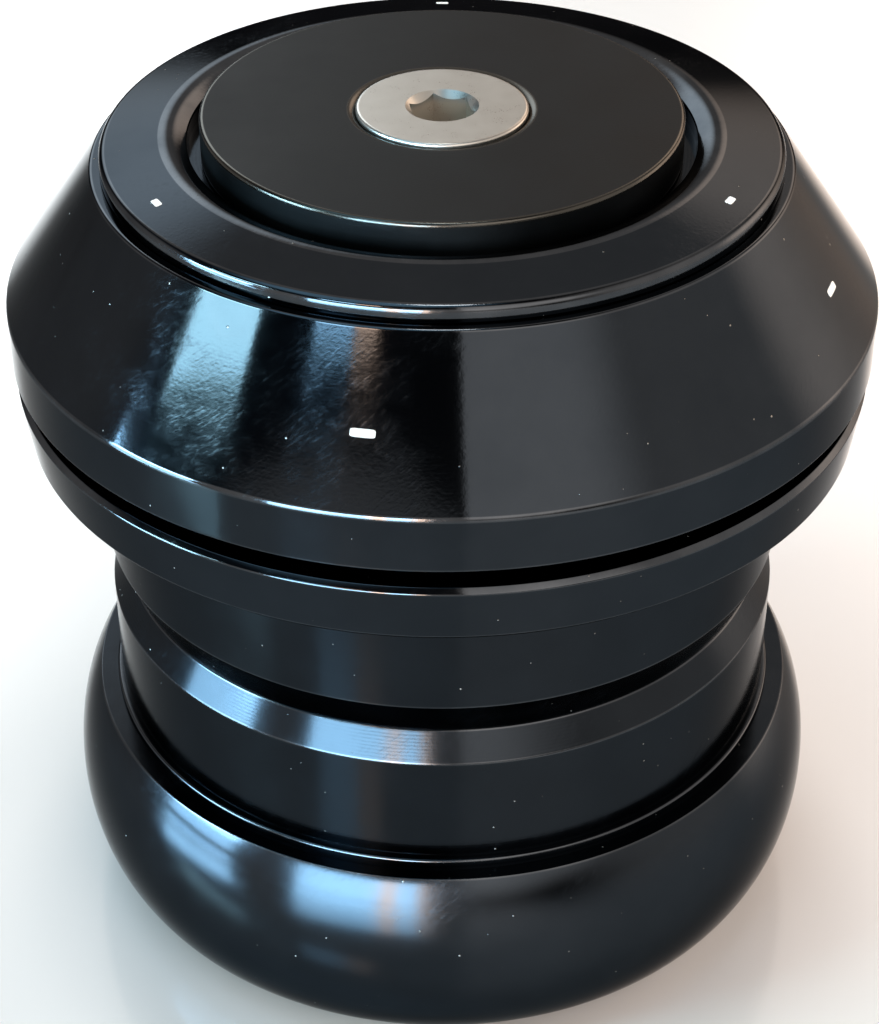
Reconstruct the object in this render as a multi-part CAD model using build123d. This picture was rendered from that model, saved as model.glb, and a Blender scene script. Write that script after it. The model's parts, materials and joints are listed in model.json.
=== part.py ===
from build123d import *
import math
import os

# Threadless bicycle headset, standing as a loose stack: crown race, lower cup, upper cup, bearing cover,
# spacer and top cap on one steering axis. Millimetres, +Z up, origin on the steering axis at the
# underside of the crown race.

# Steerer tube and fork crown that the headset fits
steerer_radius = 14.3
steerer_clearance = 0.05
crown_seat_radius = 15.0

# Skirts of both cups, pressed into the head tube
skirt_radius = 24.85
skirt_wall = 2.5
skirt_end_round = 0.3

# Cartridge bearings, alike above and below, a little wider than the skirts
bearing_overhang = 1.15
race_wall = 2.2
race_spacing = 1.6
race_land = 0.6
race_edge_round = 0.3
ball_radius = 1.5875
ball_count = 28
ball_clearance = 0.08
cage_pocket_clearance = 0.07
cage_band = 0.65
cage_rise = 1.0
cage_side_gap = 0.15
bearing_end_room = 1.1925
bearing_seal_thickness = 0.3
bearing_seal_inset = 0.25
bearing_seal_gap = 0.06
bearing_fit = 0.02
cone_seat_gap = 0.03

# Crown race and its rubber seal
crown_flange_thickness = 1.5
crown_flange_width = 1.64
crown_edge_round = 0.3
crown_seal_thickness = 1.3
crown_seal_lip = 0.8
crown_seal_gap = 1.2
seal_running_gap = 0.12

# Lower cup: a bulb round the bearing pocket, open below, with a flat shoulder and a raised seat for the head tube
bulb_wall = 2.52
bulb_half_width = 4.8
bulb_centre_rise = 5.44
bulb_rise = 9.45
bulb_drop = 8.7
lip_drop = 1.4
shoulder_width = 1.3
seat_width = 0.4
seat_step = 0.5
seat_corner_round = 0.2
lower_skirt_length = 10.63
lower_lead_height = 2.1
lead_depth = 1.2
bore_lead = 1.5

# Upper cup: band, collar round the bearing pocket, and skirt
upper_skirt_length = 12.4
upper_lead_height = 2.9
band_height = 4.36
band_taper = 0.5
band_ledge = 2.25
band_edge = 0.35
pocket_floor = 1.7
collar_wall = 1.9
collar_drop = 0.5
collar_edge = 0.6

# Bearing cover and its rubber seal
cover_gap = 1.3
cover_band_height = 4.1
cover_band_wall = 1.5
cover_edge_round = 0.5
cover_lower_edge = 0.3
cone_height = 9.41
cone_wall = 2.2
cover_top_wall = 2.95
cover_hub_wall = 6.15
cover_running_room = 0.95
land_margin = 0.65
land_edge_round = 0.25
cover_seal_height = 1.4
cover_seal_inset = 0.5

# Split compression ring
compression_rise = 1.6
compression_split = 2.0

# Top spacer: a shallow cone with a recess for the cap
spacer_side_height = 1.12
spacer_face_rise = 0.85
spacer_face_width = 4.95
spacer_bevel_width = 1.0
spacer_bevel_height = 0.4
spacer_edge_round = 0.2
spacer_hub_wall = 4.6
spacer_hub_depth = 1.45
spacer_hub_clearance = 0.1
spacer_bore_clearance = 0.1
spacer_web = 1.7

# Top cap
cap_overhang = 2.05
cap_thickness = 2.83
cap_edge_round = 0.45
cap_foot_round = 0.2
cap_recess_gap = 0.9
cap_boss_inset = 2.0
cap_boss_depth = 1.0
cap_mouth_round = 0.7

# Countersunk socket screw
bolt_radius = 3.0
bolt_length = 30.0
bolt_head_radius = 5.85
bolt_head_land = 0.4
bolt_head_stand = 0.18
bolt_head_round = 0.2
bolt_tip_chamfer = 0.6
bolt_hole_clearance = 0.25
socket_flats = 4.0
socket_depth = 2.4
socket_chamfer = 0.35
socket_turn = 45.0
thread_clearance = 0.06

# Star nut on the screw
star_nut_wall = 2.2
star_nut_neck_wall = 1.4
star_nut_middle = 5.0
star_nut_lip = 0.5
star_nut_lip_wall = 1.9
star_nut_screw_end = 4.0
star_inset = 1.4
star_thickness = 0.8
star_dish = 2.2
star_fingers = 8
star_slot_width = 2.6
star_slot_start = 8.2

# Sizes that follow from the driving dimensions
steerer_bore = steerer_radius + steerer_clearance
skirt_bore = skirt_radius - skirt_wall
lead_radius = skirt_radius - lead_depth
bearing_outer_radius = skirt_radius + bearing_overhang
outer_wall = bearing_outer_radius - race_wall
inner_wall = outer_wall - race_spacing
pitch_radius = inner_wall + race_spacing / 2
bearing_bore_radius = inner_wall - race_wall
bearing_half = ball_radius + cage_pocket_clearance + cage_band + bearing_end_room
bearing_height = 2 * bearing_half
race_chamfer = race_wall - race_land
pocket_radius = bearing_outer_radius + bearing_fit
seat_offset = cone_seat_gap * math.sqrt(2)
cone_foot = bearing_bore_radius + race_chamfer - seat_offset
cone_tip = bearing_bore_radius - seat_offset

# Heights up the stack
crown_seal_base = crown_flange_thickness
lower_bearing_base = crown_seal_base + crown_seal_thickness + crown_seal_gap
lower_bearing_top = lower_bearing_base + bearing_height
lip_height = lower_bearing_base - lip_drop
bulb_centre_height = lower_bearing_base + bulb_centre_rise
seat_radius = skirt_radius + seat_width
bulb_radius = pocket_radius + bulb_wall
bulb_centre_radius = bulb_radius - bulb_half_width
shoulder_radius = seat_radius + shoulder_width
shoulder_angle = math.acos((shoulder_radius - bulb_centre_radius) / bulb_half_width)
shoulder_height = bulb_centre_height + bulb_rise * math.sin(shoulder_angle)
seat_height = shoulder_height + seat_step
meeting_height = seat_height + lower_skirt_length
band_base = meeting_height + upper_skirt_length
band_top = band_base + band_height
upper_bearing_base = band_base + pocket_floor
upper_bearing_top = upper_bearing_base + bearing_height
collar_radius = pocket_radius + collar_wall
collar_top = upper_bearing_top - collar_drop
band_radius = collar_radius + band_ledge
compression_top = upper_bearing_top + compression_rise
cover_base = band_top + cover_gap
cover_inner_radius = collar_radius + cover_running_room
cover_radius = cover_inner_radius + cover_band_wall
cone_base = cover_base + cover_band_height
land_height = cone_base + cone_height
spacer_bore = steerer_radius + spacer_bore_clearance
spacer_hub_radius = spacer_bore + spacer_hub_wall
spacer_hub_base = land_height - spacer_hub_depth
cap_base = spacer_hub_base + spacer_web
cap_radius = steerer_radius + cap_overhang
cap_boss_radius = steerer_radius - cap_boss_inset
recess_radius = cap_radius + cap_recess_gap
spacer_face_inner = recess_radius + spacer_bevel_width
spacer_radius = spacer_face_inner + spacer_face_width
spacer_side_top = land_height + spacer_side_height
spacer_top = spacer_side_top + spacer_face_rise
land_radius = spacer_radius + land_margin
cover_recess_radius = spacer_hub_radius + spacer_hub_clearance
cover_recess_floor = spacer_hub_base - spacer_hub_clearance
cover_hub_radius = spacer_bore + cover_hub_wall
cap_top = cap_base + cap_thickness
bolt_top = cap_top + bolt_head_stand
bolt_cone_top = bolt_top - bolt_head_land
bolt_cone_base = bolt_cone_top - (bolt_head_radius - bolt_radius)
bolt_end = bolt_top - bolt_length
star_nut_bore = bolt_radius + thread_clearance
star_nut_radius = star_nut_bore + star_nut_wall
star_neck_radius = star_nut_bore + star_nut_neck_wall
star_lip_radius = star_nut_bore + star_nut_lip_wall
star_radius = steerer_radius - star_inset
star_nut_base = bolt_end + star_nut_screw_end
lower_star_base = star_nut_base + star_nut_lip
star_middle_base = lower_star_base + star_thickness
star_middle_top = star_middle_base + star_nut_middle
star_nut_top = star_middle_top + star_thickness + star_nut_lip


def section(*corners):
    """Closed face of (radius, height) corners; a third number rounds that corner."""
    points = [corner[:2] for corner in corners]
    rounds = [corner[2] if len(corner) == 3 else 0 for corner in corners]
    return make_face(FilletPolyline(*points, radius=rounds, close=True))


def spin(face):
    """Turn a face of radius and height once round the steering axis."""
    return revolve(Plane.XZ * face, Axis.Z)


def turned(*corners):
    """Solid turned about the steering axis from the corners of its section."""
    return spin(section(*corners))


def block(inner, base, outer, top):
    """Plain rectangular face between two radii and two heights."""
    return section((inner, base), (outer, base), (outer, top), (inner, top))


def crown_race():
    """Flanged ring for the fork crown, with a 45 degree cone up into the lower inner race."""
    flange_radius = cone_foot + crown_flange_width
    cone_top = lower_bearing_base + race_chamfer
    return turned(
        (crown_seat_radius, 0),
        (flange_radius, 0, crown_edge_round),
        (flange_radius, crown_flange_thickness, crown_edge_round),
        (cone_foot, crown_flange_thickness),
        (cone_foot, lower_bearing_base),
        (cone_tip, cone_top),
        (crown_seat_radius, cone_top, crown_edge_round),
    )


def crown_race_seal():
    """Rubber ring on the crown race whose lip runs just inside the lower cup."""
    seal_radius = pocket_radius - seal_running_gap
    seal_top = crown_seal_base + crown_seal_thickness
    return turned(
        (cone_foot, crown_seal_base),
        (seal_radius - crown_seal_lip, crown_seal_base),
        (seal_radius, crown_seal_base + crown_seal_lip),
        (seal_radius, seal_top),
        (cone_foot, seal_top),
    )


def lower_cup():
    """Bulb round the bearing pocket, its flat shoulder, the raised seat for the head tube, and the skirt above it."""
    inside = FilletPolyline(
        (pocket_radius, lip_height),
        (pocket_radius, lower_bearing_top),
        (outer_wall, lower_bearing_top),
        (skirt_bore, lower_bearing_top + bore_lead),
        (skirt_bore, meeting_height),
        (lead_radius, meeting_height),
        (skirt_radius, meeting_height - lower_lead_height),
        (skirt_radius, seat_height),
        (seat_radius, seat_height),
        (seat_radius, shoulder_height),
        (shoulder_radius, shoulder_height),
        radius=(0, 0, 0, skirt_end_round, 0, skirt_end_round, seat_corner_round, seat_corner_round, 0),
    )
    bulb_centre = (bulb_centre_radius, bulb_centre_height)
    bulge = EllipticalCenterArc(bulb_centre, bulb_half_width, bulb_rise, arc_size=math.degrees(shoulder_angle))
    lip_angle = math.degrees(math.asin((bulb_centre_height - lip_height) / bulb_drop))
    underside = EllipticalCenterArc(bulb_centre, bulb_half_width, bulb_drop, -lip_angle, arc_size=lip_angle)
    lip = Line(inside @ 0, underside @ 0)
    return spin(make_face([inside, bulge, underside, lip]))


def upper_cup():
    """Band with a collar round the bearing pocket above and the press-in skirt below."""
    return turned(
        (skirt_bore, meeting_height, skirt_end_round),
        (lead_radius, meeting_height),
        (skirt_radius, meeting_height + upper_lead_height, skirt_end_round),
        (skirt_radius, band_base),
        (band_radius - band_taper - band_edge, band_base),
        (band_radius - band_taper, band_base + band_edge),
        (band_radius, band_top - band_edge),
        (band_radius - band_edge, band_top),
        (collar_radius, band_top),
        (collar_radius, collar_top - collar_edge),
        (collar_radius - collar_edge, collar_top),
        (pocket_radius, collar_top),
        (pocket_radius, upper_bearing_base),
        (outer_wall, upper_bearing_base),
        (skirt_bore, upper_bearing_base - bore_lead),
    )


def bearing(base, facing):
    """Six pieces of a cartridge bearing; facing is +1 with the inner race's chamfer up, -1 with it down."""
    centre = base + bearing_half
    groove = Pos(0, 0, centre) * Torus(pitch_radius, ball_radius + ball_clearance)

    def height(rise):
        return centre + facing * rise

    outer_race = turned(
        (outer_wall, height(-bearing_half)),
        (bearing_outer_radius, height(-bearing_half), race_edge_round),
        (bearing_outer_radius, height(bearing_half), race_edge_round),
        (outer_wall, height(bearing_half)),
    )
    inner_race = turned(
        (bearing_bore_radius, height(-bearing_half), race_edge_round),
        (inner_wall, height(-bearing_half)),
        (inner_wall, height(bearing_half)),
        (bearing_bore_radius + race_chamfer, height(bearing_half)),
        (bearing_bore_radius, height(bearing_half - race_chamfer)),
    )
    spots = PolarLocations(pitch_radius, ball_count)
    ball = Pos(0, 0, centre) * Sphere(ball_radius)
    pocket = Pos(0, 0, centre) * Sphere(ball_radius + cage_pocket_clearance)
    band_depth = ball_radius + cage_pocket_clearance + cage_band
    cage = turned(
        (inner_wall + cage_side_gap, height(-band_depth)),
        (outer_wall - cage_side_gap, height(-band_depth)),
        (outer_wall - cage_side_gap, height(cage_rise)),
        (inner_wall + cage_side_gap, height(cage_rise)),
    )
    seals = []
    for side in (1, -1):
        outside = centre + side * (bearing_half - bearing_seal_inset)
        inside = outside - side * bearing_seal_thickness
        face = block(inner_wall + bearing_seal_gap, inside, outer_wall, outside)
        seals.append(spin(face))
    return {
        "outer_race": outer_race - groove,
        "inner_race": inner_race - groove,
        "ball_cage": cage - [spot * pocket for spot in spots],
        "balls": Compound([spot * ball for spot in spots]),
        "upper_seal": seals[0],
        "lower_seal": seals[1],
    }


def compression_ring():
    """Split ring whose 45 degree cone sits in the upper inner race and grips the steerer."""
    ring = turned(
        (steerer_bore, upper_bearing_top - race_chamfer),
        (cone_tip, upper_bearing_top - race_chamfer),
        (cone_foot, upper_bearing_top),
        (cone_foot, compression_top),
        (steerer_bore, compression_top),
    )
    split = Box(cone_foot, compression_split, compression_top, align=(Align.MIN, Align.CENTER, Align.MIN))
    return ring - Rot(0, 0, 90) * split


def bearing_cover():
    """Hollow cone with a plain band, its hub standing on the compression ring."""
    slope = (cover_radius - land_radius) / cone_height
    ceiling = land_height - cover_top_wall
    ceiling_radius = land_radius + slope * cover_top_wall - cone_wall
    wall_foot_radius = cover_radius - cone_wall
    return turned(
        (cover_inner_radius, cover_base),
        (cover_radius - cover_lower_edge, cover_base),
        (cover_radius, cover_base + cover_lower_edge),
        (cover_radius, cone_base, cover_edge_round),
        (land_radius, land_height, land_edge_round),
        (cover_recess_radius, land_height),
        (cover_recess_radius, cover_recess_floor),
        (spacer_bore, cover_recess_floor),
        (spacer_bore, compression_top),
        (cover_hub_radius, compression_top),
        (cover_hub_radius, ceiling),
        (ceiling_radius, ceiling),
        (wall_foot_radius, cone_base),
        (cover_inner_radius, cone_base - cone_wall + cover_band_wall),
    )


def cover_seal():
    """Rubber wiper inside the cover's band, running round the upper cup's collar."""
    seal_base = cover_base + cover_seal_inset
    seal_inner = collar_radius + seal_running_gap
    return spin(block(seal_inner, seal_base, cover_inner_radius, seal_base + cover_seal_height))


def top_spacer():
    """Shallow conical ring: hub in the cover, sloping upper face, recess for the cap."""
    return turned(
        (spacer_bore, spacer_hub_base),
        (spacer_hub_radius, spacer_hub_base),
        (spacer_hub_radius, land_height),
        (spacer_radius, land_height, spacer_edge_round),
        (spacer_radius, spacer_side_top, spacer_edge_round),
        (spacer_face_inner, spacer_top, spacer_edge_round),
        (recess_radius, spacer_top - spacer_bevel_height),
        (recess_radius, cap_base),
        (spacer_bore, cap_base),
    )


def top_cap():
    """Disc with a countersunk hole and a boss below that centres it in the steerer."""
    hole_radius = bolt_radius + bolt_hole_clearance
    seat_radius = bolt_head_radius + seat_offset
    mouth_radius = seat_radius + cap_top - bolt_cone_top
    cone_base_height = bolt_cone_top - (seat_radius - hole_radius)
    boss_base = cap_base - cap_boss_depth
    return turned(
        (hole_radius, boss_base),
        (cap_boss_radius, boss_base, cap_foot_round),
        (cap_boss_radius, cap_base),
        (cap_radius, cap_base, cap_foot_round),
        (cap_radius, cap_top, cap_edge_round),
        (mouth_radius, cap_top, cap_mouth_round),
        (hole_radius, cone_base_height),
    )


def top_cap_bolt():
    """Countersunk screw with a hexagon socket, its thread drawn as a plain shank."""
    screw = turned(
        (0, bolt_end),
        (bolt_radius - bolt_tip_chamfer, bolt_end),
        (bolt_radius, bolt_end + bolt_tip_chamfer),
        (bolt_radius, bolt_cone_base),
        (bolt_head_radius, bolt_cone_top),
        (bolt_head_radius, bolt_top, bolt_head_round),
        (0, bolt_top),
    )
    hexagon = Rot(0, 0, socket_turn) * RegularPolygon(socket_flats / 2, 6, major_radius=False)
    socket = Pos(0, 0, bolt_top) * extrude(hexagon, -socket_depth)
    mouth_radius = socket_flats / math.sqrt(3) + socket_chamfer / 2
    mouth = Pos(0, 0, bolt_top) * Cone(
        mouth_radius - socket_chamfer,
        mouth_radius,
        socket_chamfer,
        align=(Align.CENTER, Align.CENTER, Align.MAX),
    )
    return screw - socket - mouth


def star_nut_body():
    """Threaded sleeve with a neck and a peened lip at each end for the star washers."""
    return turned(
        (star_nut_bore, star_nut_base),
        (star_lip_radius, star_nut_base),
        (star_lip_radius, lower_star_base),
        (star_neck_radius, lower_star_base),
        (star_neck_radius, star_middle_base),
        (star_nut_radius, star_middle_base),
        (star_nut_radius, star_middle_top),
        (star_neck_radius, star_middle_top),
        (star_neck_radius, star_middle_top + star_thickness),
        (star_lip_radius, star_middle_top + star_thickness),
        (star_lip_radius, star_nut_top),
        (star_nut_bore, star_nut_top),
    )


def star_washer(base):
    """Spring washer with a flat middle and fingers that lean up and out."""
    top = base + star_thickness
    washer = turned(
        (star_neck_radius, base),
        (star_nut_radius, base),
        (star_radius, base + star_dish),
        (star_radius, top + star_dish),
        (star_nut_radius, top),
        (star_neck_radius, top),
    )
    slot = Pos(star_slot_start, 0, base) * Box(
        star_radius,
        star_slot_width,
        star_dish + star_thickness,
        align=(Align.MIN, Align.CENTER, Align.MIN),
    )
    step = 360 / star_fingers
    return washer - [Rot(0, 0, step * finger) * slot for finger in range(star_fingers)]


nodes = {
    "crown_race": crown_race(),
    "crown_race_seal": crown_race_seal(),
    "lower_cup": lower_cup(),
    "upper_cup": upper_cup(),
    "compression_ring": compression_ring(),
    "bearing_cover": bearing_cover(),
    "cover_seal": cover_seal(),
    "top_spacer": top_spacer(),
    "top_cap": top_cap(),
    "top_cap_bolt": top_cap_bolt(),
    "star_nut_body": star_nut_body(),
    "star_washer_lower": star_washer(lower_star_base),
    "star_washer_upper": star_washer(star_middle_top),
}
for place, base, facing in (("lower", lower_bearing_base, -1), ("upper", upper_bearing_base, 1)):
    for piece, solid in bearing(base, facing).items():
        nodes[f"{place}_bearing_{piece}"] = solid

os.makedirs("parts", exist_ok=True)
for name, solid in nodes.items():
    export_step(solid, f"parts/{name}.step")
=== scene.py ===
# %% [markdown]
# # A threadless bicycle headset
# The headset stands as a loose stack: a bulbous lower cup, an upper cup, a conical bearing cover, a flat
# spacer and a top cap with a countersunk screw. All but the screw is turned on a lathe and anodised
# black, so the lesson is about clean turned surfaces and about a black that lives from its reflections.
#
# The imported model is loaded first and stays where it is.

# %% Load the frame
import json
import math

import bmesh
import bpy
import numpy as np
from mathutils import Euler, Matrix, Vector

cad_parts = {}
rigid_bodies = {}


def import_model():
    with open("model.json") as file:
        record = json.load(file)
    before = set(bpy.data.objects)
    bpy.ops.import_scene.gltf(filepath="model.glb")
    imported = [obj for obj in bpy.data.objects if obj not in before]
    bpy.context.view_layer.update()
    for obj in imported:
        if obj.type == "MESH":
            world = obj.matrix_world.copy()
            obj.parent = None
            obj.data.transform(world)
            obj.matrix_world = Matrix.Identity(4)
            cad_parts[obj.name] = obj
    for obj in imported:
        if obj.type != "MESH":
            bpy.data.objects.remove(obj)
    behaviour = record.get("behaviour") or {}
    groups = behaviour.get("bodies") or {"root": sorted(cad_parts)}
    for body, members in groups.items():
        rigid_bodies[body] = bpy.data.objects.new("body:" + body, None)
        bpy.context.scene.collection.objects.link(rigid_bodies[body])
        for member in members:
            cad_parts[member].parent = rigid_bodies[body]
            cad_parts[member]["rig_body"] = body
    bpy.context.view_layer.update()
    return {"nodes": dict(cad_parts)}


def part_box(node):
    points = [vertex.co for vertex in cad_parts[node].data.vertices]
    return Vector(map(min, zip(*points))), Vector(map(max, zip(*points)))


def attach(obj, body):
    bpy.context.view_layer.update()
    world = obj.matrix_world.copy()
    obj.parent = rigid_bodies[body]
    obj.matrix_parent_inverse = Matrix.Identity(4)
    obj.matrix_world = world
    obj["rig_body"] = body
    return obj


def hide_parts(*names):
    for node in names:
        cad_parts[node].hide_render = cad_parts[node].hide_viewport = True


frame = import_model()
MM = 0.001
print("nodes in the frame:", len(frame["nodes"]))


# %% [markdown]
# ## Turned profiles
# A turned part is one section carried round an axis. It could be modelled with a Screw modifier on a
# drawn curve, but the section is easier to keep true as numbers: corners in millimetres, each with the
# radius that breaks its edge. Real edges are never sharp. The thin bright line along every rim of the
# headset is light caught by such a round. Two extra rows beside each round keep the straight runs shading
# perfectly straight.

# %% Rounded profile
HOLD = 0.06
STRAIGHT = 0.6
ARC_STEPS = 7


def rounded(corners, closed=True):
    """Profile rows (radius, height, edge) in mm from corners (radius, height, round).

    A round of radius q, where the two sides meet at the angle 2h, leaves each side q / tan(h) from the
    corner and is an arc about the point that lies q / sin(h) along the bisector. Rows on an arc have edge 1,
    and all others 0.
    """
    points = np.array([corner[:2] for corner in corners], float)
    runs = []
    for index, corner in enumerate(corners):
        here = points[index]
        q = corner[2] if len(corner) > 2 else 0
        if not q:
            runs.append(np.append(here, 0)[None])
            continue
        back = points[index - 1] - here
        on = points[(index + 1) % len(points)] - here
        back, on = back / np.linalg.norm(back), on / np.linalg.norm(on)
        h = math.acos(np.clip(back @ on, -1, 1)) / 2
        middle = (back + on) / np.linalg.norm(back + on)
        centre = here + middle * q / math.sin(h)
        first, last = here + back * q / math.tan(h) - centre, here + on * q / math.tan(h) - centre
        start = math.atan2(first[1], first[0])
        sweep = (math.atan2(last[1], last[0]) - start + math.pi) % (2 * math.pi) - math.pi
        angle = start + sweep * np.linspace(0, 1, ARC_STEPS + 1)
        arc = centre + q * np.column_stack([np.cos(angle), np.sin(angle)])
        runs.append(np.column_stack([arc, np.ones(len(arc))]))
    rows = []
    for index, run in enumerate(runs):
        rows.append(run)
        if index + 1 == len(runs) and not closed:
            break
        a, b = run[-1, :2], runs[(index + 1) % len(runs)][0, :2]
        length = np.linalg.norm(b - a)
        if length > STRAIGHT:
            step = (b - a) / length * HOLD
            rows.append(np.array([[*(a + step), 0], [*(b - step), 0]]))
    return np.concatenate(rows)


def signed_area(rows):
    """Twice the area in a closed profile, the sum of r1 z2 - r2 z1: positive where it runs anticlockwise."""
    following = np.roll(rows, -1, axis=0)
    return np.sum(rows[:, 0] * following[:, 1] - following[:, 0] * rows[:, 1])


# %% [markdown]
# ## From rows to a mesh
# The rows become a grid: one direction runs along the profile, the other round the axis. Whole arrays are
# written at once, which is quick and keeps the code short. Each point also stores how far along the
# profile it lies, for the fine rings that the turning tool leaves, and whether it is on a rounded edge,
# for wear.

# %% Grid meshes
TURNS = 288
SHARP = math.radians(32)
POLE = 0.0001


def grid_piece(name, points, wrap_rows, path=None, edge=None):
    """Mesh from a grid of points in mm; columns always wrap round, rows only where wrap_rows is true.

    Quad (i, j) has the corners (i, j), (i, j+1), (i+1, j+1) and (i+1, j), so a profile that runs
    anticlockwise in the half plane of radius and height faces outwards. Rows that shrink to one point are
    merged into a pole.
    """
    count, turns = points.shape[:2]
    index = np.arange(count * turns).reshape(count, turns)
    lower = index if wrap_rows else index[:-1]
    upper = np.roll(index, -1, axis=0) if wrap_rows else index[1:]
    next_lower, next_upper = np.roll(lower, -1, axis=1), np.roll(upper, -1, axis=1)
    quads = np.stack([lower, next_lower, next_upper, upper], axis=-1).reshape(-1, 4)
    mesh = bpy.data.meshes.new(name)
    mesh.vertices.add(count * turns)
    mesh.vertices.foreach_set("co", (points * MM).astype(np.float32).ravel())
    mesh.loops.add(quads.size)
    mesh.loops.foreach_set("vertex_index", quads.astype(np.int32).ravel())
    mesh.polygons.add(len(quads))
    mesh.polygons.foreach_set("loop_start", np.arange(0, quads.size, 4, dtype=np.int32))
    mesh.update(calc_edges=True)
    if not wrap_rows:
        shape = bmesh.new()
        shape.from_mesh(mesh)
        bmesh.ops.remove_doubles(shape, verts=shape.verts, dist=POLE * MM)
        shape.to_mesh(mesh)
        shape.free()
    for attribute, values in (("path_mm", path), ("edge", edge)):
        if values is not None:
            layer = mesh.attributes.new(attribute, "FLOAT", "POINT")
            layer.data.foreach_set("value", np.repeat(values, turns).astype(np.float32))
    mesh.shade_smooth()
    mesh.set_sharp_from_angle(angle=SHARP)
    piece = bpy.data.objects.new(name, mesh)
    bpy.context.scene.collection.objects.link(piece)
    return piece


def lathe(name, rows):
    """Closed ring turned from profile rows: point (i, j) is (r cos a, r sin a, z) with a = 2 pi j / TURNS."""
    if signed_area(rows) < 0:
        rows = rows[::-1]
    angle = 2 * np.pi * np.arange(TURNS) / TURNS
    radius, height = rows[:, 0, None], rows[:, 1, None]
    points = np.stack([radius * np.cos(angle), radius * np.sin(angle), height + 0 * angle], axis=-1)
    steps = np.linalg.norm(np.diff(rows[:, :2], axis=0), axis=1)
    path = np.concatenate([[0], np.cumsum(steps)])
    piece = grid_piece(name, points, True, path, rows[:, 2])
    print(name, "has", len(piece.data.polygons), "faces from", len(rows), "profile rows")
    return piece


def span(node):
    """Lowest height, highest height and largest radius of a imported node, in mm."""
    low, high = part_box(node)
    return low.z / MM, high.z / MM, high.x / MM


def stands_for(piece, node):
    """The piece rides on the node's body and hides the node."""
    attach(piece, frame["nodes"][node]["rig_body"])
    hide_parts(node)


# %% [markdown]
# ## Lower cup
# The lower cup is the bulb at the foot of the stack. Its outside is an ellipse in section, cut off below
# by the open lip round the bearing and above by a flat shoulder. The head tube rests on a narrow seat,
# one small step above the shoulder, and the skirt that is pressed into the tube stands up from the seat.
# The shoulder mirrors the skirt and looks black, and only the rim of the step draws a line of light. The
# ellipse is sampled closely, so its highlights stay smooth.

# %% Lower cup
SKIRT = 24.85
SKIRT_BORE = 22.35
POCKET = 26.02
SHELF = 23.8
LEAD = 23.65
BULB_HALF_WIDTH = 4.8
BULB_RISE = 9.45
BULB_DROP = 8.7
BULB_CENTRE = 9.44
BULB_ROWS = 74
SHOULDER = 26.55
SEAT = 25.25
SEAT_STEP = 0.5
LOWER_LEAD = 2.1
BORE_LEAD = 1.5
bearing_top = span("lower_bearing_outer_race")[1]

lip, meeting, bulb = span("lower_cup")
bulb_middle = bulb - BULB_HALF_WIDTH
shoulder_turn = math.acos((SHOULDER - bulb_middle) / BULB_HALF_WIDTH)
shoulder = BULB_CENTRE + BULB_RISE * math.sin(shoulder_turn)
seat = shoulder + SEAT_STEP
lip_turn = -math.asin((BULB_CENTRE - lip) / BULB_DROP)
turn = np.linspace(lip_turn, shoulder_turn, BULB_ROWS)[1:-1]
reach = np.where(turn > 0, BULB_RISE, BULB_DROP)
bulge = np.column_stack([bulb_middle + BULB_HALF_WIDTH * np.cos(turn), BULB_CENTRE + reach * np.sin(turn)])
lip_radius = bulb_middle + BULB_HALF_WIDTH * math.cos(lip_turn)
lower_cup_rows = rounded(
    [
        (POCKET, lip, 0.1),
        (lip_radius, lip, 0.18),
        *[tuple(point) for point in bulge],
        (SHOULDER, shoulder, 0.08),
        (SEAT, shoulder),
        (SEAT, seat, 0.2),
        (SKIRT, seat),
        (SKIRT, meeting - LOWER_LEAD, 0.25),
        (LEAD, meeting, 0.2),
        (SKIRT_BORE, meeting, 0.25),
        (SKIRT_BORE, bearing_top + BORE_LEAD),
        (SHELF, bearing_top),
        (POCKET, bearing_top),
    ]
)
lower_cup = lathe("lower_cup_turned", lower_cup_rows)
stands_for(lower_cup, "lower_cup")

# %% [markdown]
# ## Upper cup
# The upper cup carries the other bearing. Its skirt hangs down into the head tube and starts with a long
# lead chamfer; above it a slightly tapered band shows on the finished bicycle, and a thin collar stands
# up inside the cover.

# %% Upper cup
BAND_TAPER = 0.5
BAND_EDGE = 0.35
BAND_BASE = 40.63
BAND_TOP = 44.99
COLLAR = 27.92
COLLAR_EDGE = 0.6
UPPER_LEAD = 2.9
_, collar_top, band = span("upper_cup")
upper_bearing_base = span("upper_bearing_outer_race")[0]
upper_cup_rows = rounded(
    [
        (SKIRT_BORE, meeting, 0.25),
        (LEAD, meeting, 0.2),
        (SKIRT, meeting + UPPER_LEAD, 0.25),
        (SKIRT, BAND_BASE, 0.3),
        (band - BAND_TAPER - BAND_EDGE, BAND_BASE, 0.12),
        (band - BAND_TAPER, BAND_BASE + BAND_EDGE, 0.15),
        (band, BAND_TOP - BAND_EDGE, 0.15),
        (band - BAND_EDGE, BAND_TOP, 0.15),
        (COLLAR, BAND_TOP, 0.2),
        (COLLAR, collar_top - COLLAR_EDGE),
        (COLLAR - COLLAR_EDGE, collar_top),
        (POCKET, collar_top, 0.1),
        (POCKET, upper_bearing_base),
        (SHELF, upper_bearing_base),
        (SKIRT_BORE, upper_bearing_base - BORE_LEAD),
    ]
)
upper_cup = lathe("upper_cup_turned", upper_cup_rows)
stands_for(upper_cup, "upper_cup")

# %% [markdown]
# ## Bearing cover
# The cover is a hollow cone over a plain band. It is the largest mirror of the headset, so its slope must
# be one clean straight line, with a soft shoulder below, where the cone runs into the band, and a crisp
# edge above at the spacer.

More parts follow.
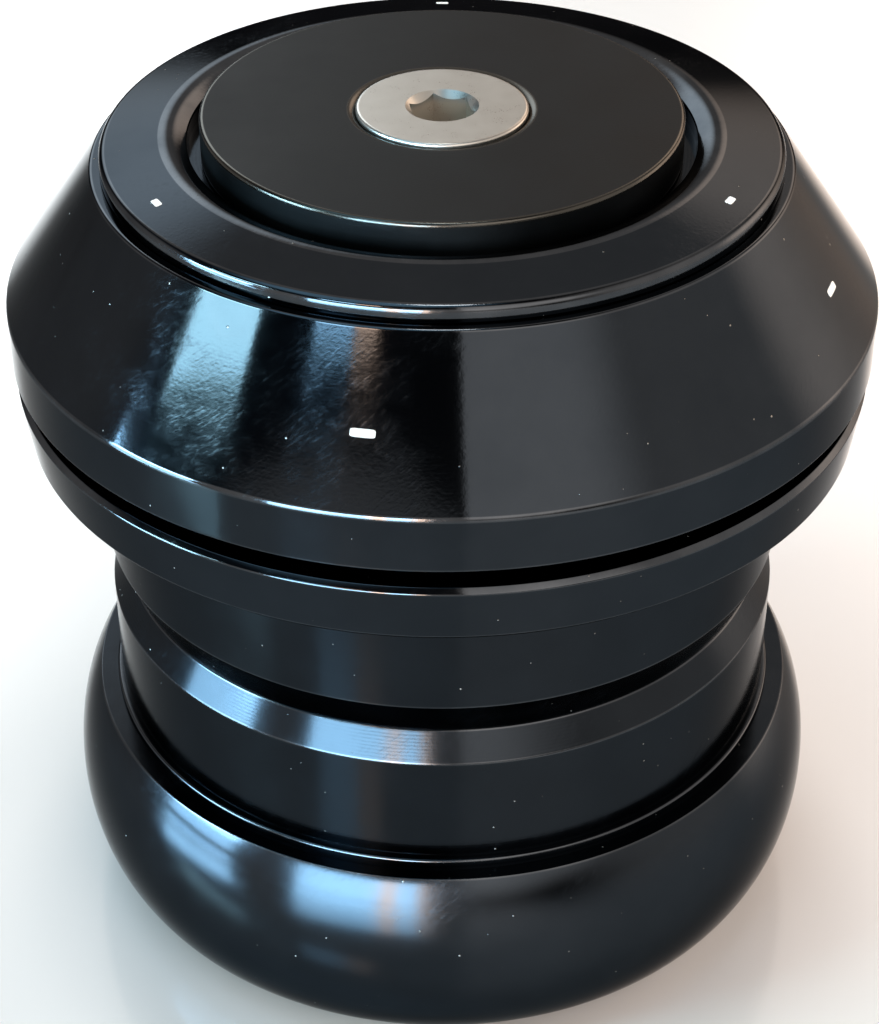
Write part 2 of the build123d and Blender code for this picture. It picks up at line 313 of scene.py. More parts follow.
# %% Bearing cover
CONE_BASE = 50.39
CONE_TOP_RADIUS = 23.85
CONE_WALL = 2.2
TOP_WALL = 2.95
STEERER_BORE = 14.4
HUB = 20.55
SPACER_HUB = 19.0
SPACER_HUB_ROOM = 0.1
COLLAR_ROOM = 0.95
FOOT_EDGE = 0.3
ROOF_DROP = 0.7
cover_base, land, cover = span("bearing_cover")
compression_top = span("compression_ring")[1]
spacer_hub_base = span("top_spacer")[0]
slope = (cover - CONE_TOP_RADIUS) / (land - CONE_BASE)
ceiling_radius = CONE_TOP_RADIUS + slope * TOP_WALL - CONE_WALL
cover_rows = rounded(
    [
        (COLLAR + COLLAR_ROOM, cover_base, 0.1),
        (cover - FOOT_EDGE, cover_base, 0.12),
        (cover, cover_base + FOOT_EDGE, 0.15),
        (cover, CONE_BASE, 0.55),
        (CONE_TOP_RADIUS, land, 0.25),
        (SPACER_HUB + SPACER_HUB_ROOM, land),
        (SPACER_HUB + SPACER_HUB_ROOM, spacer_hub_base - SPACER_HUB_ROOM),
        (STEERER_BORE, spacer_hub_base - SPACER_HUB_ROOM),
        (STEERER_BORE, compression_top),
        (HUB, compression_top),
        (HUB, land - TOP_WALL),
        (ceiling_radius, land - TOP_WALL),
        (cover - CONE_WALL, CONE_BASE),
        (COLLAR + COLLAR_ROOM, CONE_BASE - ROOF_DROP),
    ]
)
bearing_cover = lathe("bearing_cover_turned", cover_rows)
stands_for(bearing_cover, "bearing_cover")

# %% [markdown]
# ## Spacer and top cap
# The spacer is a shallow cone with a sunk middle. The cap sits in it with a little air all round, and
# that dark ring of air is what separates the two black parts. The cap's hole is countersunk, with a soft
# mouth round the screw head.

# %% Spacer and cap
SPACER_SIDE = 1.12
SPACER_FACE_INNER = 18.4
RECESS = 17.25
BEVEL = 0.6
HOLE = 3.25
SEAT_ROOM = 0.042
CAP_BOSS = 12.3
CAP_BOSS_HEIGHT = 1.0
HEAD_LAND = 0.4
_, spacer_top, spacer = span("top_spacer")
cap_foot, cap_top, cap = span("top_cap")
cap_base = cap_foot + CAP_BOSS_HEIGHT
bolt_end, bolt_top, bolt_head = span("top_cap_bolt")
bolt_cone_top = bolt_top - HEAD_LAND
countersink = bolt_head + SEAT_ROOM
spacer_rows = rounded(
    [
        (STEERER_BORE, spacer_hub_base),
        (SPACER_HUB, spacer_hub_base),
        (SPACER_HUB, land),
        (spacer, land, 0.15),
        (spacer, land + SPACER_SIDE, 0.5),
        (SPACER_FACE_INNER, spacer_top, 2.2),
        (RECESS, spacer_top - BEVEL, 0.15),
        (RECESS, cap_base),
        (STEERER_BORE, cap_base),
    ]
)
top_spacer = lathe("top_spacer_turned", spacer_rows)
stands_for(top_spacer, "top_spacer")

cap_rows = rounded(
    [
        (HOLE, cap_foot),
        (CAP_BOSS, cap_foot, 0.2),
        (CAP_BOSS, cap_base),
        (cap, cap_base, 0.2),
        (cap, cap_top, 0.25),
        (countersink + cap_top - bolt_cone_top, cap_top, 0.7),
        (HOLE, bolt_cone_top - countersink + HOLE),
    ]
)
top_cap = lathe("top_cap_turned", cap_rows)
stands_for(top_cap, "top_cap")

# %% [markdown]
# ## Cap screw
# A countersunk M6 screw with a 4 mm hexagon. The hexagon could be cut with a Boolean, but a radius that
# depends on the angle gives it directly: half the width over flats divided by the cosine of the angle
# from the nearest flat's middle. The chamfer at its mouth is a 45 degree cone, so where it meets the
# flats it leaves the scalloped edge seen on every socket screw. The shank carries a real helical thread,
# 1 mm in pitch, that fades out at both ends.

# %% Cap screw
SOCKET_FLATS = 4.0
SOCKET_DEPTH = 2.4
SOCKET_TURN = 45.0
SOCKET_CHAMFER = 0.35
DRILL_DEPTH = 0.7
DRILL_SHARE = 0.86
SHANK = 3.0
PITCH = 1.0
THREAD_DEPTH = 0.55
GROOVE_TOP = 1.15
GROOVE_SLOPE = 2.4
RUN_OUT = 3.0
TIP_CHAMFER = 0.6
SCREW_TURNS = 192
ROWS_PER_PITCH = 12

angle = 2 * np.pi * np.arange(SCREW_TURNS) / SCREW_TURNS + math.radians(SOCKET_TURN)
sixth = math.pi / 3
from_flat = np.mod(angle - math.radians(SOCKET_TURN), sixth) - sixth / 2
hexagon = SOCKET_FLATS / 2 / np.cos(from_flat)
corner_radius = SOCKET_FLATS / math.sqrt(3)
mouth = corner_radius + SOCKET_CHAMFER / 2
floor_height = bolt_top - SOCKET_DEPTH
round_row = np.ones(SCREW_TURNS)

head_rows = rounded(
    [
        (mouth, bolt_top),
        (bolt_head, bolt_top, 0.22),
        (bolt_head, bolt_cone_top, 0.06),
        (SHANK, bolt_cone_top - bolt_head + SHANK),
    ],
    closed=False,
)
shank_top = head_rows[-1, 1]
thread_height = np.arange(shank_top, bolt_end + TIP_CHAMFER, -PITCH / ROWS_PER_PITCH)[1:, None]
fade_in = np.clip((shank_top - thread_height) / (RUN_OUT * PITCH), 0, 1)
fade = fade_in * np.clip((thread_height - bolt_end) / PITCH, 0, 1)
phase = np.mod(thread_height / PITCH - angle / (2 * np.pi), 1)
groove = np.clip(GROOVE_TOP - GROOVE_SLOPE * np.abs(phase - 0.5), 0, 1)
thread_radius = SHANK - THREAD_DEPTH * fade * groove
radii = np.concatenate(
    [
        [0 * round_row, DRILL_SHARE * SOCKET_FLATS / 2 * round_row, hexagon, hexagon],
        head_rows[:, 0, None] * round_row,
        thread_radius,
        [(SHANK - TIP_CHAMFER) * round_row, 0 * round_row],
    ]
)
heights = np.concatenate(
    [
        [(floor_height - DRILL_DEPTH) * round_row, floor_height * round_row, floor_height * round_row],
        [bolt_top - (mouth - hexagon)],
        head_rows[:, 1, None] * round_row,
        thread_height * round_row,
        [bolt_end * round_row, bolt_end * round_row],
    ]
)
screw_points = np.stack([radii * np.cos(angle), radii * np.sin(angle), heights], axis=-1)[::-1]
cap_screw = grid_piece("cap_screw_threaded", screw_points, False)
stands_for(cap_screw, "top_cap_bolt")
print("cap screw has", len(cap_screw.data.polygons), "faces")

# %% [markdown]
# ## Printed dashes
# Small white dashes are screen printed on the cone and on the spacer. Ink lies on the surface as a thin
# film with soft corners, which is a superellipsoid: cosines and sines raised to a small power give a slab
# with rounded sides. Its length is wrapped round the axis and its thickness stands on the slope, half of
# it sunk in, so no edge floats.

# %% Printed dashes
INK = 0.03
SIDE_POWER = 0.3
CORNER_POWER = 0.35
DASH_ROWS, DASH_TURNS = 12, 48
CONE_DASH_SHARE, CONE_DASH_LENGTH, CONE_DASH_WIDTH = 0.44, 1.6, 0.54
CONE_DASH_ANGLES = (-10, 69, 170, 249)
FACE_DASH_SHARE, FACE_DASH_LENGTH, FACE_DASH_WIDTH = 0.43, 0.9, 0.5
FACE_DASH_ANGLES = (-60, 61, 180)


def power(value, exponent):
    """Signed power: the sign of the value times its size raised to the exponent."""
    return np.sign(value) * np.abs(value) ** exponent


def ink_dash(name, foot, top, share, degrees, length, width):
    """Dash on the slope from foot to top, each (radius, height), at a share of it and degrees from the front.

    With u from pole to pole and v round the slab: x = length/2 cos(u) cos(v), y = width/2 cos(u) sin(v) and
    w = INK sin(u), all as signed powers. x is laid along the circle, y up the slope, and w along the slope's
    normal.
    """
    foot, top = np.array(foot), np.array(top)
    uphill = (top - foot) / np.linalg.norm(top - foot)
    normal = np.array([uphill[1], -uphill[0]])
    u = np.linspace(-np.pi / 2, np.pi / 2, DASH_ROWS)[:, None]
    v = 2 * np.pi * np.arange(DASH_TURNS) / DASH_TURNS
    waist = power(np.cos(u), SIDE_POWER)
    x = length / 2 * waist * power(np.cos(v), CORNER_POWER)
    y = width / 2 * waist * power(np.sin(v), CORNER_POWER)
    w = INK * power(np.sin(u), SIDE_POWER) + 0 * v
    middle = foot + share * (top - foot)
    radius = middle[0] + y * uphill[0] + w * normal[0]
    around = math.radians(degrees - 90) + x / middle[0]
    height = middle[1] + y * uphill[1] + w * normal[1]
    points = np.stack([radius * np.cos(around), radius * np.sin(around), height], axis=-1)
    piece = grid_piece(name, points, False)
    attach(piece, "upper_steering")
    return piece


cone_foot, cone_top = (cover, CONE_BASE), (CONE_TOP_RADIUS, land)
face_foot, face_top = (spacer, land + SPACER_SIDE), (SPACER_FACE_INNER, spacer_top)
cone_dash, face_dash = (CONE_DASH_LENGTH, CONE_DASH_WIDTH), (FACE_DASH_LENGTH, FACE_DASH_WIDTH)
dashes = [
    ink_dash(f"cone_dash_{number}", cone_foot, cone_top, CONE_DASH_SHARE, degrees, *cone_dash)
    for number, degrees in enumerate(CONE_DASH_ANGLES, 1)
]
dashes += [
    ink_dash(f"spacer_dash_{number}", face_foot, face_top, FACE_DASH_SHARE, degrees, *face_dash)
    for number, degrees in enumerate(FACE_DASH_ANGLES, 1)
]
print("printed dashes:", len(dashes))

# %% [markdown]
# ## Node helper and colours
# A material is a small graph. One helper adds a node, sets its properties and fills its sockets: a plain
# value is set on the socket, and another node's output is linked to it. Colours are written as they look,
# in sRGB hex, and turned to the linear values that shaders work in.

# %% Node helper


def linear(hex_colour):
    """sRGB hex to linear RGBA: up to 0.04045 c / 12.92, above it ((c + 0.055) / 1.055) to the power 2.4."""
    parts = np.array([int(hex_colour[at : at + 2], 16) for at in (1, 3, 5)]) / 255
    values = np.where(parts <= 0.04045, parts / 12.92, ((parts + 0.055) / 1.055) ** 2.4)
    return (*values.tolist(), 1.0)


def add(tree, kind, inputs=None, output=0, **settings):
    """Add a node, set its properties, fill its sockets with values or links, and return one output."""
    node = tree.nodes.new("ShaderNode" + kind)
    for key, value in settings.items():
        setattr(node, key, value)
    for key, value in (inputs or {}).items():
        if isinstance(value, bpy.types.NodeSocket):
            tree.links.new(value, node.inputs[key])
        else:
            node.inputs[key].default_value = value
    return node.outputs[output]


def new_material(name):
    """Empty node material and its tree."""
    material = bpy.data.materials.new(name)
    material.use_nodes = True
    material.node_tree.nodes.clear()
    return material, material.node_tree


def add_output(tree, shader):
    """Link a shader to the material's surface."""
    node = tree.nodes.new("ShaderNodeOutputMaterial")
    tree.links.new(shader, node.inputs["Surface"])


def per_mm(size):
    """Texture scale with cells or blobs of about this many mm, as Object coordinates are in metres."""
    return 1 / (size * MM)


print("middle grey in linear light:", round(linear("#808080")[0], 3))

# %% [markdown]
# ## Black anodised aluminium
# Anodising grows a glass-hard oxide on the turned aluminium and the pores are dyed black. What reaches
# the eye is almost only a dim, slightly blue reflection: mirror-like on cone, spacer and bands, softer on
# the buffed bulb, and finely ringed on the skirts, where only the turning tool passed. On top comes what
# a used shop part has: grease smears that dull the mirror, strokes left by a cloth, specks of dust, and
# edges rubbed a little lighter.
#
# The finish is drawn as a very dark metal, because it has no body colour beneath the gloss. A plain dark
# metal would turn white where it is seen edge-on, but the dyed layer soaks that light up, so the tint
# near the edges is held down.

# %% Black anodised finishes
SMEAR_SIZE = 5.0
SMEAR_RANGE = (0.45, 0.7)
SMEAR_DULLS = 0.05
WIPE_WIDTH = 0.3
WIPE_LENGTH = 16.0
WIPE_LEAN = 1 / 27.0
WIPE_RANGE = (0.5, 0.75)
WIPE_DULLS = 0.11
WIPE_DEPTH = 0.002
DUST_CELL = 1.3
DUST_RADIUS = 0.1
DUST_CORE = 0.4
DUST_HEIGHT = 0.02
DUST_COVER = 0.7
DUST_DULLS = 0.5
DUST_TONE = "#a3a19a"
RING_PITCH = 0.24
PIT_SIZE = 0.3
PIT_DEPTH = 0.0015
WORN_TONE = "#4a4e52"
EDGE_TINT = "#c0c0c0"


def black_anodised(name, deep, light, roughness, ring_height):
    """Dyed oxide between two tones, dulled by smears, wipe marks and dust, with fine relief.

    Wipe marks are noise drawn out along Z, on coordinates twisted about the axis by WIPE_LEAN radians for
    each mm of height, so they run round the part as slanting strokes without a seam. The relief is pits,
    wipe marks, dust and the tool's rings, which are ring_height mm deep.
    """
    material, tree = new_material(name)
    place = add(tree, "TexCoord", output="Object")
    grease = {"Vector": place, "Scale": per_mm(SMEAR_SIZE), "Detail": 5.0, "Roughness": 0.62}
    smear = add(tree, "TexNoise", grease)
    smeared = add(tree, "MapRange", {"Value": smear, "From Min": SMEAR_RANGE[0], "From Max": SMEAR_RANGE[1]})
    height = add(tree, "SeparateXYZ", {0: place}, output="Z")
    lean = add(tree, "Math", {0: height, 1: -WIPE_LEAN / MM}, operation="MULTIPLY")
    twisted = add(tree, "VectorRotate", {"Vector": place, "Angle": lean}, rotation_type="Z_AXIS")
    drawn = add(tree, "Mapping", {"Vector": twisted, "Scale": (1, 1, WIPE_WIDTH / WIPE_LENGTH)})
    strokes = add(tree, "TexNoise", {"Vector": drawn, "Scale": per_mm(WIPE_WIDTH), "Detail": 2.0})
    stroke = add(tree, "MapRange", {"Value": strokes, "From Min": WIPE_RANGE[0], "From Max": WIPE_RANGE[1]})
    wiped = add(tree, "Math", {0: stroke, 1: smeared}, operation="MULTIPLY")
    cells = {"Vector": place, "Scale": per_mm(DUST_CELL)}
    speck = add(tree, "TexVoronoi", cells, output="Distance")
    size = add(tree, "SeparateColor", {0: add(tree, "TexVoronoi", cells, output="Color")})
    sized = add(tree, "Math", {0: speck, 1: size}, operation="DIVIDE")
    share = DUST_RADIUS / DUST_CELL
    dust = add(tree, "MapRange", {"Value": sized, "From Min": share, "From Max": DUST_CORE * share})
    edge = add(tree, "Attribute", output="Fac", attribute_name="edge")
    rubbed = add(tree, "Math", {0: edge, 1: smear}, operation="MULTIPLY")
    path = add(tree, "Attribute", output="Fac", attribute_name="path_mm")
    wobble = add(tree, "Math", {0: smear, 1: RING_PITCH, 2: path}, operation="MULTIPLY_ADD")
    ring_angle = add(tree, "Math", {0: wobble, 1: 2 * math.pi / RING_PITCH}, operation="MULTIPLY")
    rings = add(tree, "Math", {0: ring_angle}, operation="SINE")

    body = add(tree, "Mix", {0: smear, 6: linear(deep), 7: linear(light)}, output=2, data_type="RGBA")
    worn = add(tree, "Mix", {0: rubbed, 6: body, 7: linear(WORN_TONE)}, output=2, data_type="RGBA")
    settled = add(tree, "Math", {0: dust, 1: DUST_COVER}, operation="MULTIPLY")
    dusty = add(tree, "Mix", {0: settled, 6: worn, 7: linear(DUST_TONE)}, output=2, data_type="RGBA")
    dulled = add(tree, "Math", {0: smeared, 1: SMEAR_DULLS, 2: roughness}, operation="MULTIPLY_ADD")
    fingered = add(tree, "Math", {0: wiped, 1: WIPE_DULLS, 2: dulled}, operation="MULTIPLY_ADD")
    rough = add(tree, "Math", {0: dust, 1: DUST_DULLS, 2: fingered}, operation="MULTIPLY_ADD")
    pits = add(tree, "TexNoise", {"Vector": place, "Scale": per_mm(PIT_SIZE), "Detail": 2.0})
    normal = add(tree, "Bump", {"Height": pits, "Distance": PIT_DEPTH * MM}, output="Normal")
    for relief, depth in ((wiped, WIPE_DEPTH), (rings, ring_height), (dust, DUST_HEIGHT)):
        raised = {"Height": relief, "Distance": depth * MM, "Normal": normal}
        normal = add(tree, "Bump", raised, output="Normal")
    shader = add(
        tree,
        "BsdfPrincipled",
        {
            "Base Color": dusty,
            "Roughness": rough,
            "Normal": normal,
            "Metallic": 1.0,
            "Specular Tint": linear(EDGE_TINT),
        },
    )
    add_output(tree, shader)
    return material


polished_black = black_anodised("polished_black_anodised_aluminium", "#22272c", "#2a2f34", 0.07, 0.00004)
buffed_black = black_anodised("buffed_black_anodised_aluminium", "#22272c", "#2a2f34", 0.15, 0.00004)
turned_black = black_anodised("turned_black_anodised_aluminium", "#1e2226", "#24292e", 0.13, 0.0003)


def finish_by_zone(piece, gloss, is_turned):
    """One gloss all over, and the turned finish where a rule on a face's radius and height (mm) picks it."""
    mesh = piece.data
    mesh.materials.append(gloss)
    mesh.materials.append(turned_black)
    centres = np.empty(len(mesh.polygons) * 3, np.float32)
    mesh.polygons.foreach_get("center", centres)
    centres = centres.reshape(-1, 3) / MM
    turned = is_turned(np.hypot(centres[:, 0], centres[:, 1]), centres[:, 2])
    mesh.polygons.foreach_set("material_index", turned.astype(np.int32))
    print(piece.name, "faces as turned:", int(turned.sum()))


ON_SKIRT = SKIRT + 0.05
INSIDE = 0.5
finish_by_zone(lower_cup, buffed_black, lambda radius, height: (radius < ON_SKIRT) & (height > seat))
finish_by_zone(upper_cup, polished_black, lambda radius, height: (radius < ON_SKIRT) & (height < BAND_BASE))
finish_by_zone(bearing_cover, polished_black, lambda radius, height: radius < HUB + INSIDE)
finish_by_zone(top_spacer, polished_black, lambda radius, height: radius < RECESS - INSIDE)

# %% [markdown]
# ## Satin cap
# The cap was bead blasted before it was anodised. Thousands of tiny dents scatter the light, so the black
# turns to a warm dark grey with no mirror in it, and only its rounded rim still catches a line of light.

# %% Satin cap
BEAD_SIZE = 0.16
DENT_DEPTH = 0.01
CLOUD_SIZE = 6.0
NOISE_RANGE = (0.3, 0.7)
CAP_ROUGHNESS = (0.36, 0.46)
RIM_WEAR = 0.45
RIM_GLOSS = 0.22
CAP_EDGE_TINT = "#d9d9d9"

cap_finish, tree = new_material("bead_blasted_black_aluminium")
place = add(tree, "TexCoord", output="Object")
beads = add(tree, "TexNoise", {"Vector": place, "Scale": per_mm(BEAD_SIZE), "Detail": 2.0})
cloud = add(tree, "TexNoise", {"Vector": place, "Scale": per_mm(CLOUD_SIZE), "Detail": 4.0})
edge = add(tree, "Attribute", output="Fac", attribute_name="edge")
tone = add(tree, "Mix", {0: cloud, 6: linear("#1c1e1f"), 7: linear("#242627")}, output=2, data_type="RGBA")
rubbed = add(tree, "Math", {0: edge, 1: RIM_WEAR}, operation="MULTIPLY")
tone = add(tree, "Mix", {0: rubbed, 6: tone, 7: linear("#55544f")}, output=2, data_type="RGBA")
clouded = {"Value": cloud, "From Min": NOISE_RANGE[0], "From Max": NOISE_RANGE[1]}
clouded |= {"To Min": CAP_ROUGHNESS[0], "To Max": CAP_ROUGHNESS[1]}
rough = add(tree, "MapRange", clouded)
rough = add(tree, "Math", {0: edge, 1: -RIM_GLOSS, 2: rough}, operation="MULTIPLY_ADD")
dents = add(tree, "Bump", {"Height": beads, "Distance": DENT_DEPTH * MM, "Strength": 0.5}, output="Normal")
blasted = {"Base Color": tone, "Roughness": rough, "Normal": dents, "Metallic": 1.0}
add_output(tree, add(tree, "BsdfPrincipled", blasted | {"Specular Tint": linear(CAP_EDGE_TINT)}))
top_cap.data.materials.append(cap_finish)
print("nodes in the cap's finish:", len(tree.nodes))

# %% [markdown]
# ## Metals left bare, rubber and nylon
# The screw is stainless steel, tumbled to an even satin, with grime in its socket whose tone is lightened
# as painted light on the socket's walls. The star nut is zinc plated, the bearing rings are ground, the
# crown race is blackened, and the compression ring is bare turned aluminium. They share one recipe: a
# metal's colour, a roughness broken up by fine noise, and a slight bump of the same grain. Seals are
# moulded rubber, the ball cages moulded nylon and the dashes screen ink: the same recipe without the metal.

# %% Metals, rubber and nylon
BROAD = 12
FILM = 0.7
FILM_RISE = 0.5
SPREAD = (0.85, 1.2)


def grainy(name, dark, light, roughness, grain, height, metallic=1.0, grime_and_light=None):
    """Grained finish: tones mixed by broad noise, roughness spread by noise, and a bump of the grain's size.

    Grain and bump height are in mm. Grime and light, where given, is (height in mm, colour): below that
    height the tone turns to the colour over FILM_RISE mm, and the metal is hidden under a dull film. The
    film is grime, its tone lightened as painted light on the walls it covers.
    """
    material, tree = new_material(name)
    place = add(tree, "TexCoord", output="Object")
    fine = add(tree, "TexNoise", {"Vector": place, "Scale": per_mm(grain), "Detail": 3.0})
    broad = add(tree, "TexNoise", {"Vector": place, "Scale": per_mm(BROAD * grain), "Detail": 3.0})
    tone = add(tree, "Mix", {0: broad, 6: linear(dark), 7: linear(light)}, output=2, data_type="RGBA")
    # Below the given height a dull film: grime, with its tone lightened as painted light on the walls it
    # covers.
    if grime_and_light:
        up = add(tree, "SeparateXYZ", {0: place}, output="Z")
        low, high = (grime_and_light[0] - FILM_RISE) * MM, grime_and_light[0] * MM
        deep = add(tree, "MapRange", {"Value": up, "From Min": high, "From Max": low})
        tone = add(tree, "Mix", {0: deep, 6: tone, 7: linear(grime_and_light[1])}, output=2, data_type="RGBA")
        metallic = add(tree, "Math", {0: deep, 1: -FILM, 2: metallic}, operation="MULTIPLY_ADD")
    both = add(tree, "Math", {0: fine, 1: broad}, operation="ADD")
    spread = {"Value": both, "From Min": 2 * NOISE_RANGE[0], "From Max": 2 * NOISE_RANGE[1]}
    spread |= {"To Min": SPREAD[0] * roughness, "To Max": SPREAD[1] * roughness}
    rough = add(tree, "MapRange", spread)
    bumps = add(tree, "Bump", {"Height": fine, "Distance": height * MM, "Strength": 0.5}, output="Normal")
    sockets = {"Base Color": tone, "Roughness": rough, "Normal": bumps, "Metallic": metallic}
    shader = add(tree, "BsdfPrincipled", sockets)
    add_output(tree, shader)
    return material


# Grime in the screw's socket, its tone lightened as painted light on the socket's walls.
GRIME_AND_LIGHT_DEPTH = 0.3
socket_grime_and_light = (bolt_top - GRIME_AND_LIGHT_DEPTH, "#9a9184")
stainless = grainy("tumbled_stainless_steel", "#979792", "#a3a39e", 0.3, 0.12, 0.0006, grime_and_light=socket_grime_and_light)
ink = grainy("white_screen_ink", "#eef1ef", "#f8faf8", 0.5, 0.15, 0.003, metallic=0.0)
cap_screw.data.materials.append(stainless)
for dash in dashes:
    dash.data.materials.append(ink)

rubber = grainy("moulded_nitrile_rubber", "#151516", "#1f1f20", 0.55, 0.2, 0.006, metallic=0.0)
node_finishes = {
    "crown_race": grainy("blackened_steel", "#2a2a2c", "#3a3a3d", 0.32, 0.15, 0.003),
    "crown_race_seal": rubber,
    "cover_seal": rubber,
    "compression_ring": grainy("turned_bare_aluminium", "#b9babd", "#cfd0d2", 0.28, 0.1, 0.003),
}
zinc = grainy("zinc_plated_steel", "#a9aeb3", "#c3c6c4", 0.3, 0.3, 0.004)
node_finishes.update({node: zinc for node in ("star_nut_body", "star_washer_lower", "star_washer_upper")})
ground = grainy("ground_bearing_steel", "#b3b3b2", "#c8c8c6", 0.18, 0.08, 0.002)
nylon = grainy("moulded_nylon", "#8c7346", "#a58a58", 0.45, 0.25, 0.005, metallic=0.0)
for place_name in ("lower", "upper"):
    for ring, material in (
        ("outer_race", ground),
        ("inner_race", ground),
        ("balls", ground),
        ("ball_cage", nylon),
        ("upper_seal", rubber),
        ("lower_seal", rubber),
    ):
        node_finishes[f"{place_name}_bearing_{ring}"] = material
for node, material in node_finishes.items():
    materials = frame["nodes"][node].data.materials
    materials.clear()
    materials.append(material)
print("packed nodes with a new finish:", len(node_finishes))

# %% [markdown]
# ## Floor
# The headset stands on a white lacquered table top with a clear coat. The gloss matters: the windows
# mirrored in it show again in the lower half of the bulb, upside down.

# %% Floor
FLOOR_SIZE = 8.0

corners = np.array([[-1, -1, 0], [1, -1, 0], [1, 1, 0], [-1, 1, 0]], float) * FLOOR_SIZE / 2
floor_mesh = bpy.data.meshes.new("table_top")
floor_mesh.from_pydata(corners.tolist(), [], [[0, 1, 2, 3]])
table = bpy.data.objects.new("table_top", floor_mesh)
bpy.context.scene.collection.objects.link(table)

lacquer, tree = new_material("white_lacquer")
finish = {"Base Color": linear("#ebeae9"), "Roughness": 0.2, "IOR": 1.5}
clear_coat = {"Coat Weight": 1.0, "Coat Roughness": 0.08, "Coat IOR": 1.5}
add_output(tree, add(tree, "BsdfPrincipled", finish | clear_coat))
floor_mesh.materials.append(lacquer)
print("table top:", FLOOR_SIZE, "m wide")

# %% [markdown]
# ## Light
# Black gloss shows the lights themselves, so each lamp is placed by the spot where its mirror image
# should fall. Two tall windows stand low to the left and in front, where they and their reflections in
# the table show in the bulb. Two roof windows above them, set askew, show on the cone, and a small
# ceiling lamp draws the thin lines along its upper edge. All but the left roof window and the ceiling
# lamp are cards, which only gloss sees, so that they don't wash out the table. An area lamp's power is
# set from its radiance and its area, so that it looks equally bright at any size.

# %% Lamps
AIM = np.array([0.0, 0.0, 0.03])
DISTANCE = 1.6
POWER_PER_AREA = 4


def facing(azimuth, elevation):
    """Unit vector at an azimuth, from behind (+Y) towards the right (+X), and an elevation, in degrees."""
    turn, lift = math.radians(azimuth), math.radians(elevation)
    return np.array([math.sin(turn) * math.cos(lift), math.cos(turn) * math.cos(lift), math.sin(lift)])


def panel(name, azimuth, elevation, wide, high, radiance, colour, roll=0, card=False):
    """Rectangular lamp, wide by high degrees as seen from the part, turned to face it, then rolled clockwise.

    A card is seen in glossy surfaces but gives no light to dull ones.
    """
    lamp = bpy.data.lights.new(name, "AREA")
    lamp.shape = "RECTANGLE"
    lamp.size = 2 * DISTANCE * math.tan(math.radians(wide / 2))
    lamp.size_y = 2 * DISTANCE * math.tan(math.radians(high / 2))
    lamp.energy = radiance * POWER_PER_AREA * lamp.size * lamp.size_y
    lamp.color = linear(colour)[:3]
    holder = bpy.data.objects.new(name, lamp)
    holder.location = AIM + facing(azimuth, elevation) * DISTANCE
    aimed = Euler((math.radians(90 - elevation), 0, math.radians(180 - azimuth))).to_matrix()
    holder.rotation_euler = (aimed @ Matrix.Rotation(math.radians(roll), 3, "Z")).to_euler()
    holder.visible_camera = False
    holder.visible_diffuse = not card
    bpy.context.scene.collection.objects.link(holder)
    print(name, "power", round(lamp.energy, 1))


DAYLIGHT, WHITE_SKY, CURTAIN = "#b4e4ff", "#caf7ff", "#ffcca9"
panel("left_window_low", 253, 5.2, 24, 9, 28.0, DAYLIGHT, card=True)
panel("left_window_high", 253, 14, 24, 7.6, 62.0, DAYLIGHT, card=True)
panel("left_roof_window", 250, 28.6, 19, 6, 26.0, WHITE_SKY, roll=22)
panel("front_window_left", 209, 9.2, 24, 20, 33.0, DAYLIGHT, card=True)
panel("front_curtain", 195, 9.2, 4, 20, 32.0, CURTAIN, card=True)
panel("front_window_right", 190, 9.2, 6, 20, 33.0, DAYLIGHT, card=True)
panel("front_curtain_end", 185.5, 9.2, 3, 20, 20.0, CURTAIN, card=True)
panel("front_roof_window", 216, 39.6, 10, 8, 17.0, DAYLIGHT, roll=12, card=True)
panel("front_roof_curtain", 205.5, 41, 6, 8, 13.0, CURTAIN, roll=12, card=True)
panel("ceiling_lamp", 0, 84, 8, 8, 18.0, "#fffaf4")

# %% [markdown]
# ## Room
# Walls are far larger than the part and have no sharp edges in its mirror, so they are painted on the
# world instead: each is a soft spot of light in some direction. One wall ends at a corner and one at a
# sill, as straight borders. A patch of sky high on the left lights the table and shows in no face that
# the camera sees.

# %% Room
BORDER_BLUR = 0.02
WALL, WARM_WALL, SKY = "#fff0e5", "#ffdcc2", "#eef6fa"

world = bpy.data.worlds.new("dim_room")
world.use_nodes = True
tree = world.node_tree
tree.nodes.clear()
direction = add(tree, "TexCoord", output="Generated")


def along(azimuth, elevation):
    """Cosine between a ray and a direction."""
    sockets = {0: direction, 1: tuple(facing(azimuth, elevation))}
    return add(tree, "VectorMath", sockets, output="Value", operation="DOT_PRODUCT")


def with_wall(room, azimuth, elevation, core, reach, radiance, colour, border=None):
    """Room light plus a soft wall: full within core degrees of its middle, and nothing beyond reach degrees.

    The share is a smooth step of the cosine between the ray and the wall's middle. A border is a straight
    edge, given by the direction at right angles to it that points into the wall: there the cosine passes
    through nought.
    """
    limits = [math.cos(math.radians(angle)) for angle in (reach, core)]
    step = {"Value": along(azimuth, elevation), "From Min": limits[0], "From Max": limits[1]}
    share = add(tree, "MapRange", step, interpolation_type="SMOOTHSTEP")
    if border:
        beyond = {"Value": along(*border), "From Min": 0.0, "From Max": BORDER_BLUR, "To Max": share}
        share = add(tree, "MapRange", beyond)
    light = tuple(radiance * part for part in linear(colour)[:3])
    scaled = add(tree, "VectorMath", {0: light, "Scale": share}, operation="SCALE")
    return add(tree, "VectorMath", {0: room, 1: scaled}, operation="ADD")


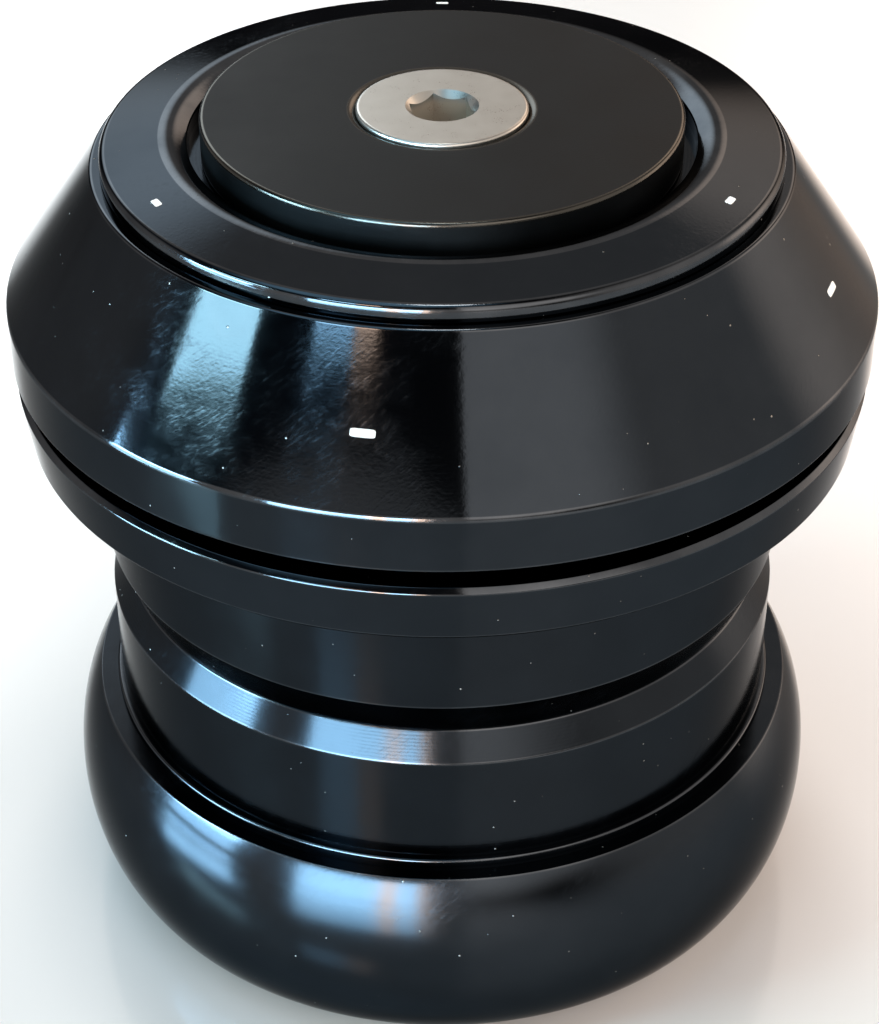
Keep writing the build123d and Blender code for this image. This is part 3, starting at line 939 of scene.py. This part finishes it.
sideways = add(tree, "SeparateXYZ", {0: direction}, output="X")
warmth = add(tree, "MapRange", {"Value": sideways, "From Min": -1.0, "From Max": 1.0})
room = add(tree, "Mix", {0: warmth, 6: linear("#303a47"), 7: linear("#443a32")}, output=2, data_type="RGBA")
room = with_wall(room, 164, 36, 6, 36, 3.0, WALL, border=(84.5, 0))
room = with_wall(room, 95, 18, 20, 55, 1.28, WALL)
room = with_wall(room, 58, 6, 8, 30, 3.2, WARM_WALL)
room = with_wall(room, 21, 26, 4, 14, 3.5, WARM_WALL)
room = with_wall(room, 0, 48, 14, 40, 0.88, WALL)
room = with_wall(room, 341, 25, 5, 17, 4.8, SKY)
room = with_wall(room, 290, 8, 10, 34, 0.7, WALL)
room = with_wall(room, 251, 72, 10, 30, 2.0, DAYLIGHT)
room = with_wall(room, 205, 5, 35, 60, 1.1, WALL, border=(192, -55))
background = add(tree, "Background", {"Color": room})
node = tree.nodes.new("ShaderNodeOutputWorld")
tree.links.new(background, node.inputs["Surface"])
bpy.context.scene.world = world
print("nodes that draw the room:", len(tree.nodes))

# %% [markdown]
# ## Camera
# The photograph was taken from close by, looking down at 35 degrees. Distance and lens were found by
# fitting the turned circles; the small shift is the offset of the picture's middle from the lens axis.

# %% Camera
PICTURE_HEIGHT = 1024
FOCAL_PIXELS = 2363
SENSOR = 36.0
CAMERA_PLACE = (0.0, -145.41, 132.75)
LOOK_DOWN = 35.42
AXIS_RIGHT, AXIS_DOWN = 2.7, 1.8

lens = bpy.data.cameras.new("camera")
lens.sensor_width = SENSOR
lens.lens = FOCAL_PIXELS * SENSOR / PICTURE_HEIGHT
lens.shift_x = -AXIS_RIGHT / PICTURE_HEIGHT
lens.shift_y = AXIS_DOWN / PICTURE_HEIGHT
camera = bpy.data.objects.new("camera", lens)
camera.location = np.array(CAMERA_PLACE) * MM
camera.rotation_euler = (math.radians(90 - LOOK_DOWN), 0, 0)
lens.clip_start = 0.01
bpy.context.scene.collection.objects.link(camera)
bpy.context.scene.camera = camera
bpy.context.scene.view_settings.view_transform = "Standard"
print("lens", round(lens.lens, 2), "mm")
